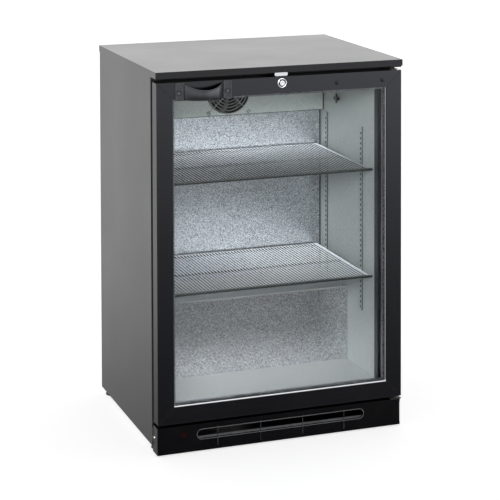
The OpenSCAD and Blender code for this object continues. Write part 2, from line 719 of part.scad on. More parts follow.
module plinth() color([0.05, 0.05, 0.06]) {
    half = half_body - 1.5;
    wall = 2.5;
    face = 1.2;
    lip = 1.6;
    rib_pitch = 103;
    difference() {
        union() {
            box([-half, y_plinth, 3], [half, y_plinth + wall, plinth_z]);
            mirrored_x() box([half - wall, y_plinth, 3], [half, y_cab - 0.5, plinth_z]);
            box([-half, y_plinth, plinth_z - wall], [half, y_cab - 0.5, plinth_z]);
            box([-half, y_plinth - face, plinth_z - 8], [half, y_plinth + 1, plinth_z]);
            box([-half, y_plinth - face, 3], [half, y_plinth + 1, 10]);
            mirrored_x() box([half - pad_in, y_plinth - face, 10 - past], [half - 2, y_plinth + 1, 55]);
            translate([0, 0, vent_z])
                plate_y(y_plinth - lip, y_plinth + 1) obround(vent_w + 2 * lip, vent_h + 2 * lip);
        }
        translate([0, 0, vent_z]) plate_y(y_plinth - 4, y_plinth + wall + past) obround(vent_w, vent_h);
        rod_y(-half_in + 26, 45, lamp_d / 2 + fit, y_plinth - 4, y_plinth + wall + past);
    }
    for (x = [-1.5 * rib_pitch : rib_pitch : 1.5 * rib_pitch])
        box([x - 0.8, y_plinth - 1, 9], [x + 0.8, y_plinth + wall, plinth_z - 7]);
}

module pilot_light() color([0.8, 0.05, 0.03]) translate([-half_in + 26, y_plinth, 45]) {
    rod_y(0, 0, lamp_d / 2, -1.2, 12);
    rod_y(0, 0, lamp_d / 2 + 1.5, -2.4, -1.2 - fit);
    rod_y(0, 0, lamp_d / 2 - 1, -3.4, -2);
}

worktop();
left_side_panel();
right_side_panel();
rear_panel();
front_frame();
base_tray();
feet();
cabinet_foam();
liner_left();
liner_right();
liner_back();
liner_floor();
step_panel();
mouth_trim();
rear_duct_panel();
fan_panel();
evaporator();
evaporator_fan_case();
evaporator_fan_wheel();
fan_guard();
drain_tray();
shelf_pilasters();
upper_shelf();
upper_shelf_clips();
lower_shelf();
lower_shelf_clips();
ceiling_lamp();
probe_holder();
cabinet_screws();
strike_plate();
top_hinge();
bottom_hinge();
hinge_bushes();
door_stile_left();
door_stile_right();
door_rail_top();
door_rail_bottom();
door_corner_keys();
outer_glass();
inner_glass();
glass_spacer();
glazing_bead();
door_gasket();
handle();
handle_screws();
hole_plugs();
lock_barrel();
lock_cylinder();
plinth();
pilot_light();
compressor();
condenser();
condenser_fan_case();
condenser_fan_wheel();
refrigerant_pipes();
drip_tray();
thermostat();
thermostat_knob();
power_cord();
rear_grille();
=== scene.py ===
"""Looks of the undercounter refrigerator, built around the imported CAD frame."""
import json
import math

import bmesh
import bpy
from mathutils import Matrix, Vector

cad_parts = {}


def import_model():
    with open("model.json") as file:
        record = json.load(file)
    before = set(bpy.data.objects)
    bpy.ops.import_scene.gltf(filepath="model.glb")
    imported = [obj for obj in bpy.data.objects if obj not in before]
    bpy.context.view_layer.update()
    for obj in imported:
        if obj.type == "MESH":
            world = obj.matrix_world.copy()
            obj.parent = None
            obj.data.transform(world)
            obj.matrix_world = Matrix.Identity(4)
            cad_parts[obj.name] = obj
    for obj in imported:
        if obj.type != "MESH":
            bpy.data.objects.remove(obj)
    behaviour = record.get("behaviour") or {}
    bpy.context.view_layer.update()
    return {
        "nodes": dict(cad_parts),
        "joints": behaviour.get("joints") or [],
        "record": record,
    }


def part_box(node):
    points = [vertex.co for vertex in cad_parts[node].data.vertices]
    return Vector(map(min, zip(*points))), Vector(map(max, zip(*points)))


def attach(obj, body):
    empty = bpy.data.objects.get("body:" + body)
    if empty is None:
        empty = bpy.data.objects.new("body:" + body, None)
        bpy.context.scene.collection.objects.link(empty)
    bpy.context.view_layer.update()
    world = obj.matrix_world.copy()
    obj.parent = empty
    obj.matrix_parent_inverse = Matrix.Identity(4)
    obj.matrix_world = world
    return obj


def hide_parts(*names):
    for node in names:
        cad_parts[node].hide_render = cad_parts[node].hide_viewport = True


MM = 0.001
PER_METRE = 1000

# Sizes of CAD shapes that their boxes don't give, in mm.
HANDLE_TAB = 19.5
PILASTER_DEPTH = 2.2
CHANNEL_TOP = 57.9
VENT_HALF, VENT_RADIUS, VENT_Z, VENT_RIB = 204.1, 11.6, 41, 103

# Camera: a long lens far off, turned a little down and shifted so that uprights stay upright.
CAMERA_PLACE = Vector((-1.423, -4.2735, 1.472))
CAMERA_AZIMUTH = math.radians(-21.835)
CAMERA_ELEVATION = math.radians(2.671)
CAMERA_LENS = 134.88
CAMERA_SHIFT = (-0.219, -0.7154)

# Brightness of the studio: as the camera sees it, as matt surfaces see it, and of the floor's own glow.
CAMERA_LEVEL = 1.2
MATT_LEVEL = 0.4
FLOOR_GLOW = 0.72

# Brightness of the studio as mirrors see it, in front of the object and behind it.
FRONT_UNDERFOOT, FRONT_LOW, FRONT_RAISED, FRONT_OVERHEAD = 0.6, 0.0, 0.15, 1.3
FRONT_LEVEL, FRONT_LEVEL_RIGHT = 1.7, 2.6
BACK_LOW, BACK_LEVEL, BACK_HIGH = 0.3, 1.36, 1.9

# Soft lights that shine on the inside alone: name, place, size in metres and power in watts.
LIGHTS = (("key", (0.3, -3.6, 2.0), (2.8, 0.8), 126),
          ("left_key", (-1.6, -3.0, 1.6), (0.9, 0.7), 176))
LIGHT_TARGET = (0, 0, 0.4)

# What these lights reach: CAD nodes, and pieces built here.
INSIDE = ("liner_left", "liner_right", "liner_back", "liner_floor", "step_panel", "rear_duct_panel",
          "fan_panel", "fan_guard", "shelf_pilasters", "upper_shelf", "upper_shelf_clips",
          "lower_shelf", "lower_shelf_clips", "ceiling_lamp", "probe_holder", "lock_cylinder")
INSIDE_PIECES = ("panel_screws", "glazing_tape", "lock_ring", "panel_side_shadow_strips",
                 "fan_panel_shadow_line", "pilaster_shadow_strips")

# The pane: colour of the light it lets through, and how much of its mirror image the eye gets.
GLASS_TINT = (0.922, 0.932, 0.930, 1)
GLASS_MIRROR = 0.4

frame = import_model()
NODES = frame["nodes"]


# ---- Shader building ----

class Shader:
    """A material whose nodes are added and joined in short lines."""

    def __init__(self, name, color=(0.5, 0.5, 0.5), rough=0.5, metal=0.0):
        self.mat = bpy.data.materials.new(name)
        self.mat.use_nodes = True
        self.tree = self.mat.node_tree
        self.bsdf = self.tree.nodes["Principled BSDF"]
        self.output = self.tree.nodes["Material Output"]
        self.set(self.bsdf, {"Base Color": (*color, 1), "Roughness": rough, "Metallic": metal})
        self.coord = self.add("TexCoord")

    def set(self, node, values):
        """Gives a node's inputs their values or joins them to sockets."""
        for key, value in values.items():
            if isinstance(value, bpy.types.NodeSocket):
                self.tree.links.new(value, node.inputs[key])
            else:
                node.inputs[key].default_value = value
        return node

    def add(self, kind, values=None, **settings):
        node = self.tree.nodes.new("ShaderNode" + kind)
        for key, value in settings.items():
            setattr(node, key, value)
        return self.set(node, values or {})

    def stretched(self, scale):
        """Object coordinates scaled by a different amount along each axis."""
        return self.add("Mapping", {"Vector": self.coord.outputs["Object"], "Scale": scale}).outputs[0]

    def noise(self, scale, detail=3, rough=0.5, vector=None):
        where = vector or self.coord.outputs["Object"]
        values = {"Vector": where, "Scale": scale, "Detail": detail, "Roughness": rough}
        return self.add("TexNoise", values).outputs["Fac"]

    def cells(self, scale, feature="F1", output="Distance"):
        values = {"Vector": self.coord.outputs["Object"], "Scale": scale}
        return self.add("TexVoronoi", values, feature=feature).outputs[output]

    def ramp(self, value, low, high, out_low=0.0, out_high=1.0):
        """value, carried from low..high to out_low..out_high and clamped there."""
        values = {"Value": value, "From Min": low, "From Max": high, "To Min": out_low, "To Max": out_high}
        return self.add("MapRange", values).outputs["Result"]

    def object_axis(self, axis):
        """One of the object coordinates, which are the CAD's own."""
        return self.add("SeparateXYZ", {0: self.coord.outputs["Object"]}).outputs[axis]

    def normal_axis(self, axis):
        """How far the surface faces along an axis, from -1 to 1."""
        return self.add("SeparateXYZ", {0: self.add("NewGeometry").outputs["Normal"]}).outputs[axis]

    def math(self, operation, a, b=0.0):
        return self.add("Math", {0: a, 1: b}, operation=operation).outputs[0]

    def mix(self, factor, a, b):
        node = self.add("Mix", data_type="RGBA")
        for socket, value in ((node.inputs[0], factor), (node.inputs[6], a), (node.inputs[7], b)):
            if isinstance(value, bpy.types.NodeSocket):
                self.tree.links.new(value, socket)
            else:
                socket.default_value = (*value, 1) if isinstance(value, tuple) else value
        return node.outputs[2]

    def bump(self, height, distance):
        return self.add("Bump", {"Height": height, "Distance": distance, "Strength": 1.0}).outputs["Normal"]

    def edges(self, radius):
        """1 where the surface turns within radius, 0 on flat ground."""
        rounded = self.add("Bevel", {"Radius": radius}, samples=4).outputs[0]
        normal = self.add("NewGeometry").outputs["Normal"]
        dot = self.add("VectorMath", {0: rounded, 1: normal}, operation="DOT_PRODUCT")
        return self.ramp(dot.outputs["Value"], 0.97, 0.80)

    def turned(self, axis, plain, side):
        """plain on most faces, side on those that face along the axis."""
        return self.ramp(self.math("ABSOLUTE", self.normal_axis(axis)), 0.6, 0.9, plain, side)

    def finish(self, **values):
        self.set(self.bsdf, {key.replace("_", " "): value for key, value in values.items()})
        return self.mat


def shades(color, dark, light):
    """The same colour made darker and lighter, as a pair."""
    return tuple(c * dark for c in color), tuple(min(1, c * light) for c in color)


def paint(name, color, rough, edge_wear_and_highlight, grain=1600, depth=0.02 * MM, sheen=(1, 1, 1), shine=0.5, flank=0.5):
    """Satin paint or coated sheet: fine grain, cloudy gloss and rubbed edges.

    flank is the shine of faces along X.
    """
    s = Shader(name)
    cloud = s.noise(6, 4)
    fine = s.noise(grain, 2)
    edge = s.math("MULTIPLY", s.edges(1.2 * MM), s.ramp(s.noise(60), 0.35, 0.65))
    base = s.mix(s.ramp(cloud, 0.3, 0.7), *shades(color, 0.9, 1.1))
    base = s.mix(s.math("MULTIPLY", edge, 0.5), base, edge_wear_and_highlight)
    gloss = s.ramp(cloud, 0.3, 0.7, rough * 0.94, rough * 1.06)
    return s.finish(Base_Color=base, Roughness=gloss, Normal=s.bump(fine, depth),
                    Specular_Tint=(*sheen, 1), Specular_IOR_Level=s.turned("X", shine, flank))


def plastic(name, color, rough, edge_wear_and_highlight=None, shine=0.5, level=None):
    """Moulded plastic with a fine eroded grain.

    Its edge colour, when given, is a painted highlight along its rounded edges; level is the shine of faces
    along Z.
    """
    s = Shader(name)
    grains = s.math("ADD", s.cells(2400), s.noise(1440, 2))
    cloud = s.noise(18, 3)
    base = s.mix(s.ramp(cloud, 0.3, 0.7), color, tuple(min(1, c * 1.25 + 0.002) for c in color))
    # Painted highlight: rounded edges take the lighter edge colour.
    if edge_wear_and_highlight:
        base = s.mix(s.edges(1.0 * MM), base, edge_wear_and_highlight)
    gloss = s.ramp(s.noise(40, 4), 0.3, 0.7, rough * 0.92, rough * 1.1)
    return s.finish(Base_Color=base, Roughness=gloss, Normal=s.bump(grains, 0.008 * MM),
                    Specular_Tint=(0.92, 0.94, 1, 1),
                    Specular_IOR_Level=shine if level is None else s.turned("Z", shine, level))


def sheet_metal(name, color, rough, metal, spangle):
    """Coated sheet metal with a faint crystal pattern and fine grain."""
    s = Shader(name, metal=metal)
    crystals = s.cells(spangle, output="Color")
    shade = s.add("SeparateColor", {0: crystals}).outputs[0]
    fine = s.noise(1500, 3)
    tone = s.math("ADD", s.math("MULTIPLY", shade, 0.35), s.math("MULTIPLY", fine, 0.65))
    base = s.mix(s.ramp(tone, 0.25, 0.75), *shades(color, 0.88, 1.1))
    gloss = s.ramp(tone, 0.2, 0.8, rough * 0.85, rough * 1.15)
    return s.finish(Base_Color=base, Roughness=gloss, Normal=s.bump(fine, 0.01 * MM))


def stucco(name, color, rough, dark, light):
    """Aluminium sheet rolled with small irregular raised islands, from dark to light times its colour."""
    s = Shader(name, metal=1.0)
    per_metre = 700
    raised = s.ramp(s.cells(per_metre, "DISTANCE_TO_EDGE"), 0.02, 0.3)
    shade = s.add("SeparateColor", {0: s.cells(per_metre, output="Color")}).outputs[0]
    tone = s.math("ADD", s.math("MULTIPLY", raised, 0.35), s.math("MULTIPLY", shade, 0.65))
    base = s.mix(s.ramp(tone, 0.15, 0.9), *shades(color, dark, light))
    gloss = s.ramp(s.noise(1400, 3), 0.3, 0.7, rough * 0.95, rough * 1.15)
    return s.finish(Base_Color=base, Roughness=gloss, Normal=s.bump(tone, 0.05 * MM))


def wire_rod(name, color, rough):
    """Zinc wire with a painted highlight along the tops of wires, and painted shade on flanks, undersides
    and the front of the cross rods.
    """
    s = Shader(name, metal=1.0)
    # Painted light: faces turned up keep the full colour as a painted highlight; flanks, undersides and
    # faces turned to the front are darkened as painted shade.
    top = s.ramp(s.normal_axis("Z"), 0.3, 0.78)
    front = s.ramp(s.math("ABSOLUTE", s.normal_axis("Y")), 0.15, 0.6, 1.0, 0.15)
    bright = s.math("MULTIPLY", top, front)
    shaded, _ = shades(color, 0.05, 1)
    base = s.mix(bright, shaded, s.mix(s.noise(60), *shades(color, 0.9, 1)))
    return s.finish(Base_Color=base, Roughness=s.ramp(bright, 0, 1, rough * 1.8, rough))


def plated(name, color, rough):
    """Plated or polished metal with very fine drawing marks."""
    s = Shader(name, metal=1.0)
    marks = s.noise(1.0, 3, 0.6, s.stretched((30, 30, 900)))
    base = s.mix(s.noise(25, 3), *shades(color, 0.9, 1))
    return s.finish(Base_Color=base, Roughness=s.ramp(marks, 0.3, 0.7, rough * 0.8, rough * 1.25),
                    Normal=s.bump(marks, 0.006 * MM))


def perforated(name, color):
    """Dark anodised bar with rows of fine drying holes that catch the light unevenly."""
    s = Shader(name, metal=0.6)
    speck = s.ramp(s.cells(420), 0.15, 0.55)
    lit = s.math("MULTIPLY", speck, s.ramp(s.noise(500, 2), 0.4, 0.6))
    base = s.mix(lit, *shades(color, 0.5, 4))
    return s.finish(Base_Color=base, Roughness=0.4, Normal=s.bump(speck, 0.1 * MM))


def rubber(name, color, rough):
    """Soft black rubber or vinyl with a little dust."""
    s = Shader(name)
    dust = s.ramp(s.noise(35, 5), 0.45, 0.75)
    base = s.mix(s.math("MULTIPLY", dust, 0.35), color, tuple(c * 2 + 0.01 for c in color))
    return s.finish(Base_Color=base, Roughness=rough, Normal=s.bump(s.noise(1800, 2), 0.02 * MM))


def guard_wire(box):
    """Dark coated rings round the fan, held by two pale diagonal stays."""
    s = Shader("fan_guard_wire", metal=0.8)
    middle = (box[0] + box[1]) / 2
    across = s.math("ABSOLUTE", s.math("SUBTRACT", s.object_axis("X"), middle.x))
    up = s.math("ABSOLUTE", s.math("SUBTRACT", s.object_axis("Z"), middle.z))
    stay = s.ramp(s.math("ABSOLUTE", s.math("SUBTRACT", across, up)), 2.4 * MM, 1.4 * MM)
    ring = s.mix(s.noise(300), (0.34, 0.345, 0.345), (0.42, 0.425, 0.425))
    return s.finish(Base_Color=s.mix(stay, ring, (0.62, 0.63, 0.63)), Roughness=0.36)


def pilaster_steel(box):
    """Bright on the face alone: the slots' edges and the flanks lie in their own shade."""
    s = Shader("pilaster_steel", metal=0.7)
    face = box[1].x - PILASTER_DEPTH * MM
    out = s.math("ABSOLUTE", s.object_axis("X"))
    shade = s.ramp(out, face + 0.1 * MM, face + 0.35 * MM)
    steel = s.mix(s.noise(120), (0.50, 0.52, 0.52), (0.60, 0.62, 0.61))
    return s.finish(Base_Color=s.mix(shade, steel, (0.05, 0.052, 0.052)), Roughness=0.42)


def clear_glass():
    """Thin pane: the first face a view meets mirrors for the whole glazing, and light passes freely."""
    s = Shader("clear_glass")
    tint = s.add("BsdfTransparent", {"Color": GLASS_TINT})
    mirror = s.add("BsdfGlossy", {"Color": (1, 1, 1, 1), "Roughness": 0.02})
    fresnel = s.add("Fresnel", {"IOR": 1.45})
    ray = s.add("LightPath")
    first = s.math("LESS_THAN", ray.outputs["Transparent Depth"], 0.5)
    image = s.math("MULTIPLY", fresnel.outputs[0], GLASS_MIRROR)
    seen = s.math("MULTIPLY", image, ray.outputs["Is Camera Ray"])
    smear = s.ramp(s.noise(9, 4), 0.3, 0.7, 0.75, 1.0)
    amount = s.math("MULTIPLY", s.math("MULTIPLY", seen, smear), first)
    pane = s.add("MixShader", {0: amount, 1: tint.outputs[0], 2: mirror.outputs[0]})
    s.tree.links.new(pane.outputs[0], s.output.inputs["Surface"])
    return s.mat


def glazing_seal():
    """Edge seal, pale along the bottom of the pane; up its sides it is painted dark, as painted shade."""
    s = Shader("glazing_tape")
    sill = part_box("door_rail_bottom")[1].z
    # Painted shade: above the sill the seal is darkened to a dull grey.
    side = s.ramp(s.object_axis("Z"), sill + 1 * MM, sill + 6 * MM)
    pale = s.mix(s.noise(90), (0.44, 0.45, 0.46), (0.52, 0.53, 0.54))
    return s.finish(Base_Color=s.mix(side, pale, (0.13, 0.135, 0.14)), Roughness=0.35)


def lens_red():
    """Unlit red lens moulded with fine rings."""
    s = Shader("lens_red", (0.035, 0.003, 0.002), 0.14)
    values = {"Scale": 200.0, "Vector": s.coord.outputs["Object"]}
    rings = s.add("TexWave", values, wave_type="RINGS", rings_direction="Y").outputs["Fac"]
    return s.finish(Coat_Weight=0.6, Normal=s.bump(rings, 0.02 * MM))


def foam():
    """Pale yellow insulation with open pores."""
    s = Shader("foam")
    pores = s.cells(700)
    base = s.mix(s.noise(14, 4), (0.66, 0.55, 0.28), (0.80, 0.71, 0.44))
    return s.finish(Base_Color=base, Roughness=0.9, Normal=s.bump(pores, 0.4 * MM))


def fins():
    """Thin aluminium fins, each a slightly different grey."""
    s = Shader("fins", metal=0.9)
    line = s.noise(1.0, 2, 0.5, s.stretched((900, 20, 20)))
    base = s.mix(line, (0.45, 0.46, 0.47), (0.75, 0.76, 0.77))
    return s.finish(Base_Color=base, Roughness=0.35)


def lamp_lens():
    """Diffuser of the ceiling lamp, lit a little unevenly."""
    s = Shader("lamp_lens", (0.85, 0.85, 0.82), 0.4)
    glow = s.ramp(s.noise(30), 0.3, 0.7, 1.4, 1.8)
    return s.finish(Emission_Color=(1, 0.98, 0.94, 1), Emission_Strength=glow, Transmission_Weight=0.2)


MATERIALS = {
    "black_sheet": paint("coated_black_sheet", (0.006, 0.006, 0.007), 0.30, (0.05, 0.05, 0.05),
                         sheen=(0.95, 0.96, 1.0)),
    "black_steel": paint("powder_black", (0.010, 0.010, 0.011), 0.42, (0.12, 0.12, 0.12), 900, 0.06 * MM),
    "frame_steel": paint("enamel_dark", (0.05, 0.05, 0.053), 0.4, (0.16, 0.16, 0.16)),
    "door_black": paint("door_lacquer", (0.0024, 0.0024, 0.0036), 0.21, (0.06, 0.06, 0.065),
                        2200, 0.01 * MM, sheen=(0.90, 0.92, 1.0), shine=0.66, flank=0.14),
    "compressor_black": paint("compressor_enamel", (0.012, 0.012, 0.013), 0.28, (0.1, 0.1, 0.1),
                              500, 0.1 * MM),
    "galvanised": sheet_metal("galvanised_sheet", (0.50, 0.52, 0.53), 0.42, 0.9, 90),
    "liner": sheet_metal("liner_sheet", (0.57, 0.59, 0.585), 0.48, 0.55, 260),
    "floor_sheet": sheet_metal("floor_sheet", (0.505, 0.505, 0.50), 0.48, 0.55, 260),
    "stucco": stucco("stucco_aluminium", (0.518, 0.520, 0.570), 0.30, dark=0.30, light=1.66),
    "step_stucco": stucco("stucco_step", (0.645, 0.630, 0.71), 0.30, dark=0.36, light=1.5),
    "trim": plastic("trim_grey", (0.055, 0.058, 0.058), 0.45),
    "foam": foam(),
    "coil_fins": fins(),
    "fan_black": plastic("fan_black", (0.0015, 0.0015, 0.0015), 0.55, shine=0.05),
    "wire": wire_rod("zinc_wire", (0.95, 0.96, 0.96), 0.29),
    "clip_steel": plated("zinc_steel", (0.66, 0.67, 0.68), 0.36),
    "lamp_lens": lamp_lens(),
    "black_plastic": plastic("abs_black", (0.0022, 0.0022, 0.0028), 0.20),
    "plinth": plastic("plinth_black", (0.0013, 0.0013, 0.0018), 0.22, shine=0.30, level=0.04),
    # The handle's lighter edge colour is a painted highlight along its rounded edges.
    "handle": plastic("handle_black", (0.004, 0.004, 0.0052), 0.24, (0.09, 0.09, 0.10), shine=1.0),
    # Pale grey of the painted highlight lines on the handle.
    "handle_highlight": plastic("handle_highlight", (0.14, 0.14, 0.15), 0.36),
    "glass": clear_glass(),
    "spacer": perforated("spacer_bar", (0.10, 0.10, 0.11)),
    "gasket": rubber("gasket_pvc", (0.018, 0.018, 0.019), 0.55),
    "tape": glazing_seal(),
    "lock_chrome": plated("lock_chrome", (0.78, 0.78, 0.82), 0.20),
    # Pale metal of the painted highlight lines round the plinth's slot.
    "highlight_grey": plated("highlight_grey", (0.38, 0.38, 0.40), 0.30),
    "screw_dark": plated("blackened_screw", (0.26, 0.26, 0.27), 0.30),
    "white_plastic": plastic("acetal_white", (0.68, 0.68, 0.65), 0.42),
    "red_lens": lens_red(),
    "foot_rubber": rubber("foot_rubber", (0.012, 0.012, 0.012), 0.65),
    "copper": plated("copper_tube", (0.72, 0.38, 0.25), 0.3),
    "cord": rubber("cord_sheath", (0.01, 0.01, 0.01), 0.45),
}


# ---- Carried-over CAD nodes ----

# How far each node's edges are rounded, in mm; the rest get SMALL_EDGE.
SMALL_EDGE = 0.25
EDGE_MM = {
    "worktop": 0.9, "door_stile_left": 0.9, "door_stile_right": 0.9, "door_rail_top": 0.7,
    "door_rail_bottom": 0.9, "plinth": 1.0, "lock_barrel": 0.6, "strike_plate": 0.7, "top_hinge": 0.5,
    "bottom_hinge": 0.5, "thermostat": 1.0, "probe_holder": 1.2, "mouth_trim": 0.6, "ceiling_lamp": 0.8,
    "compressor": 1.0, "cabinet_foam": 1.0, "evaporator_fan_case": 0.8, "condenser_fan_case": 1.0,
    "drip_tray": 0.6,
}
UNBEVELLED = {"upper_shelf", "lower_shelf", "fan_guard", "evaporator", "condenser", "refrigerant_pipes"}

# Nodes whose look differs from their material slot's.
NODE_LOOKS = {"plinth": "plinth", "step_panel": "step_stucco", "liner_floor": "floor_sheet"}


def round_edges(obj, width, segments, angle):
    """Rounds every edge that turns more than angle, in degrees, by width, in mm."""
    bevel = obj.modifiers.new("round", "BEVEL")
    bevel.width = width * MM
    bevel.segments = segments
    bevel.limit_method = "ANGLE"
    bevel.angle_limit = math.radians(angle)
    bevel.harden_normals = True


def polish(node):
    """Rounds a CAD node's edges with modifiers, leaving its own mesh alone."""
    obj = NODES[node]
    mesh = obj.data
    if "custom_normal" in mesh.attributes:
        mesh.attributes.remove(mesh.attributes["custom_normal"])
    mesh.shade_smooth()
    weld = obj.modifiers.new("weld", "WELD")
    weld.merge_threshold = 0.01 * MM
    if node not in UNBEVELLED:
        round_edges(obj, EDGE_MM.get(node, SMALL_EDGE), 2, 40)
    normals = obj.modifiers.new("normals", "WEIGHTED_NORMAL")
    normals.weight = 90
    normals.keep_sharp = True


def dress_cad():
    """Gives every CAD node its material and soft edges."""
    slots = {row["node"]: row["material_slot"] for row in frame["record"]["subparts"]}
    for node, obj in NODES.items():
        obj.data.materials.clear()
        obj.data.materials.append(MATERIALS[NODE_LOOKS.get(node, slots[node])])
        polish(node)
    for node, look in (("fan_guard", guard_wire), ("shelf_pilasters", pilaster_steel)):
        NODES[node].data.materials[0] = look(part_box(node))


# ---- Mesh building ----

def new_object(name, data):
    obj = bpy.data.objects.new(name, data)
    bpy.context.scene.collection.objects.link(obj)
    return obj


def add_piece(name, bm, slot, body, *replaced, smooth_angle=35, edge=0.0, look=None):
    """Turns a bmesh into a finished piece that rides on a body and stands for the replaced CAD nodes.

    edge is how far its edges are rounded, in mm; look is its finish where that isn't its slot's.
    """
    bmesh.ops.recalc_face_normals(bm, faces=bm.faces)
    mesh = bpy.data.meshes.new(name)
    bm.to_mesh(mesh)
    bm.free()
    mesh.shade_smooth()
    mesh.set_sharp_from_angle(angle=math.radians(smooth_angle))
    obj = new_object(name, mesh)
    mesh.materials.append(MATERIALS[look or slot])
    if edge:
        round_edges(obj, edge, 3, 35)
    if replaced:
        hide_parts(*replaced)
    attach(obj, body)


def loft(bm, rings, caps=True):
    """Joins closed rings of points, each with the same count, into a skin."""
    rows = [[bm.verts.new(p) for p in ring] for ring in rings]
    count = len(rows[0])
    for a, b in zip(rows, rows[1:]):
        for i in range(count):
            j = (i + 1) % count
            bm.faces.new((a[i], a[j], b[j], b[i]))
    if caps:
        bm.faces.new(rows[0][::-1])
        bm.faces.new(rows[-1])


def block(bm, low, high):
    """A box between two corners."""
    cube = bmesh.ops.create_cube(bm, size=1)
    size = Vector(high) - Vector(low)
    middle = (Vector(high) + Vector(low)) / 2
    for v in cube["verts"]:
        v.co = middle + Vector((v.co.x * size.x, v.co.y * size.y, v.co.z * size.z))


def facing(axis):
    """The rotation that carries the Z axis to this one."""
    return Vector((0, 0, 1)).rotation_difference(Vector(axis)).to_matrix()


def lathe(bm, profile, place, axis, segments, flutes=0, flute_depth=0.0):
    """Turns a profile of (radius, height) in mm round an axis through place; flutes ripple its radius."""
    turn = facing(axis)
    rings = []
    for radius, height in profile:
        ring = []
        for k in range(segments):
            angle = 2 * math.pi * k / segments
            ripple = flute_depth * (0.5 - 0.5 * math.cos(flutes * angle)) if flutes else 0
            r = max(radius - ripple, 0.02)
            point = Vector((r * math.cos(angle), r * math.sin(angle), height))
            ring.append(Vector(place) + turn @ point * MM)
        rings.append(ring)
    loft(bm, rings)


def sweep_ring(bm, section, low, high, y0, open_top=False):
    """Sweeps a closed section of (inset, depth) in mm round the rectangle low..high in X and Z, mitred.

    With an open top it runs down one side, along the bottom and up the other.
    """
    corners = []
    for right, top in ((0, 1), (0, 0), (1, 0), (1, 1)):
        ring = []
        for inset, depth in section:
            x = high[0] - inset * MM if right else low[0] + inset * MM
            z = high[1] - inset * MM if top else low[1] + inset * MM
            ring.append((x, y0 + depth * MM, z))
        corners.append(ring)
    loft(bm, corners if open_top else corners + corners[:1], caps=open_top)
    bmesh.ops.remove_doubles(bm, verts=bm.verts, dist=0.001 * MM)


def tube(bm, points, radius, segments=12):
    """A round tube along a list of points, in metres, with rounded ends."""
    points = [Vector(p) for p in points]
    tangent = (points[1] - points[0]).normalized()
    side = tangent.orthogonal().normalized()
    rings = []
    for i, p in enumerate(points):
        ahead = points[min(i + 1, len(points) - 1)] - points[max(i - 1, 0)]
        new_tangent = ahead.normalized()
        side = tangent.rotation_difference(new_tangent) @ side
        tangent = new_tangent
        across = tangent.cross(side)
        circle = []
        for k in range(segments):
            angle = 2 * math.pi * k / segments
            circle.append(p + (side * math.cos(angle) + across * math.sin(angle)) * radius)
        rings.append(circle)
    for end, inward in ((0, 1), (-1, -1)):
        middle = points[end]
        step = (points[end] - points[end + inward]).normalized() * radius * 0.35
        cap = [middle + step + (v - middle) * 0.7 for v in rings[end]]
        rings.insert(0, cap) if end == 0 else rings.append(cap)
    loft(bm, rings)


def islands(node):
    """(lowest, highest) corner of each separate solid in a CAD node."""
    bm = bmesh.new()
    bm.from_mesh(NODES[node].data)
    bmesh.ops.remove_doubles(bm, verts=bm.verts, dist=0.01 * MM)
    left, found = set(bm.verts), []
    while left:
        stack, group = [left.pop()], []
        while stack:
            v = stack.pop()
            group.append(v.co.copy())
            for e in v.link_edges:
                other = e.other_vert(v)
                if other in left:
                    left.remove(other)
                    stack.append(other)
        low = Vector(min(p[i] for p in group) for i in range(3))
        high = Vector(max(p[i] for p in group) for i in range(3))
        found.append((low, high))
    bm.free()
    return sorted(found, key=lambda box: tuple(round(c, 5) for c in box[0]))


# ---- Pieces built here ----

def screw_head(bm, place, axis, radius, height):
    """Pan head with a cross recess, in mm, seated on the plane through place, facing along axis."""
    turn = facing(axis)
    segments = 32
    arm, slot, deep = radius * 0.55, radius * 0.14, height * 0.55

    def ring(r, h):
        return [(r * math.cos(2 * math.pi * k / segments), r * math.sin(2 * math.pi * k / segments), h)
                for k in range(segments)]

    def cross(size, half, h):
        outline = []
        for k in range(4):
            c, s = round(math.cos(k * math.pi / 2)), round(math.sin(k * math.pi / 2))
            for x, y in ((half, half), (half, size), (-half, size)):
                outline.append((x * c - y * s, x * s + y * c, h))
        return outline

    def verts(points):
        return [bm.verts.new(Vector(place) + turn @ Vector(p) * MM) for p in points]

    dome = ((radius, 0), (radius, height * 0.45), (radius * 0.9, height * 0.8), (radius * 0.68, height))
    outer = [verts(ring(r, h)) for r, h in dome]
    for a, b in zip(outer, outer[1:]):
        for i in range(segments):
            j = (i + 1) % segments
            bm.faces.new((a[i], a[j], b[j], b[i]))
    bm.faces.new(outer[0][::-1])
    mouth = verts(cross(arm, slot, height))
    pit = verts(cross(arm * 0.75, slot * 0.7, height - deep))
    count = len(mouth)
    for i in range(count):
        j = (i + 1) % count
        bm.faces.new((mouth[i], mouth[j], pit[j], pit[i]))
    bm.faces.new(pit)
    rim = [bm.edges.get(pair) for loop in (outer[-1], mouth) for pair in zip(loop, loop[1:] + loop[:1])]
    bmesh.ops.triangle_fill(bm, use_beauty=True, use_dissolve=False, edges=rim)


def cabinet_screws():
    """Cross-head screws of the cabinet, each facing the way its plain CAD head does."""
    bm = bmesh.new()
    for low, high in islands("cabinet_screws"):
        middle, size = (low + high) / 2, high - low
        if size.x < size.y:
            side = 1 if middle.x > 0 else -1
            seat = low.x if side > 0 else high.x
            place, axis, radius, height = (seat, middle.y, middle.z), (side, 0, 0), size.z / 2, size.x
        else:
            place, axis, radius, height = (middle.x, high.y, middle.z), (0, -1, 0), size.x / 2, size.y
        screw_head(bm, place, axis, radius * PER_METRE, height * PER_METRE)
    add_piece("panel_screws", bm, "clip_steel", "cabinet", "cabinet_screws")


